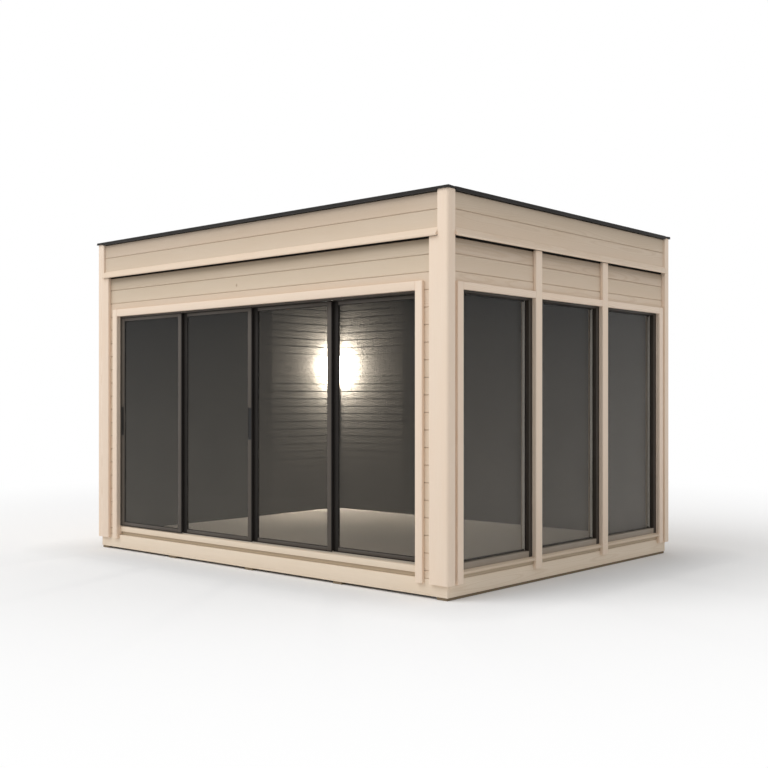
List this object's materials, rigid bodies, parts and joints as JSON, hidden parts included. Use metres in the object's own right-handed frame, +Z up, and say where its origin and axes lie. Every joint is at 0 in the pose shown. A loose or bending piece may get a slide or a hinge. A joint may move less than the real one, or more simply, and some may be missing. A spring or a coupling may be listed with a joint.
{
  "type": "modular house",
  "caption": "Flat-roofed boarded timber cabin with a parapet, sliding glass doors across its long front and tall fixed windows on one end.",
  "frame": {"origin": "ground level, under the middle of the plan measured over the parapet mouldings", "axes": "+X along the long front, towards the windowed end; -Y is the front with the sliding doors; +Z up"},
  "size_m": [4.34, 3.33, 2.925],
  "materials": {
    "cladding": "planed, oiled",
    "trim_boards": "planed, oiled",
    "base_boards": "planed, oiled",
    "sill_boards": "planed, oiled",
    "floor_timber": "sawn, treated",
    "floor_boards": "satin lacquer",
    "roof_membrane": "matt",
    "edge_metal": "satin",
    "frame_metal": "satin",
    "glazing": "clear, slightly tinted",
    "handle_metal": "satin black",
    "lamp": "opal"
  },
  "bodies": {
    "house": {"floor_bearers": "floor_timber", "base_board_front": "base_boards", "base_board_back": "base_boards", "base_board_left": "base_boards", "base_board_right": "base_boards", "floor_deck": "floor_timber", "floor_boards": "floor_boards", "corner_post_front_left": "trim_boards", "corner_post_front_right": "trim_boards", "corner_post_back_left": "trim_boards", "corner_post_back_right": "trim_boards", "front_wall_left": "cladding", "front_wall_right": "cladding", "front_wall_head": "cladding", "front_sole_plate": "floor_timber", "back_wall": "cladding", "left_wall": "cladding", "right_wall": "cladding", "parapet_front": "cladding", "parapet_back": "cladding", "parapet_left": "cladding", "parapet_right": "cladding", "roof_deck": "roof_membrane", "roof_edge": "edge_metal", "door_threshold": "sill_boards", "door_frame": "frame_metal", "door_surround": "trim_boards", "window_surround": "trim_boards", "window_battens": "trim_boards", "window_sills": "sill_boards", "window_frame_1": "frame_metal", "window_frame_2": "frame_metal", "window_frame_3": "frame_metal", "window_glass": "glazing", "wall_lamp": "lamp"},
    "leaf_1": {"door_leaf_1": "frame_metal", "door_glass_1": "glazing", "door_handle_1": "handle_metal"},
    "leaf_2": {"door_leaf_2": "frame_metal", "door_glass_2": "glazing", "door_handle_2": "handle_metal"},
    "leaf_3": {"door_leaf_3": "frame_metal", "door_glass_3": "glazing"},
    "leaf_4": {"door_leaf_4": "frame_metal", "door_glass_4": "glazing"}
  },
  "joints": [
    {"name": "door_slide_1", "type": "slide", "parent": "house", "child": "leaf_1", "axis": [1, 0, 0], "range_m": [0, 2.739]},
    {"name": "door_slide_2", "type": "slide", "parent": "house", "child": "leaf_2", "axis": [1, 0, 0], "range_m": [-0.913, 1.826]},
    {"name": "door_slide_3", "type": "slide", "parent": "house", "child": "leaf_3", "axis": [1, 0, 0], "range_m": [-1.826, 0.913]},
    {"name": "door_slide_4", "type": "slide", "parent": "house", "child": "leaf_4", "axis": [1, 0, 0], "range_m": [-2.739, 0]}
  ]
}
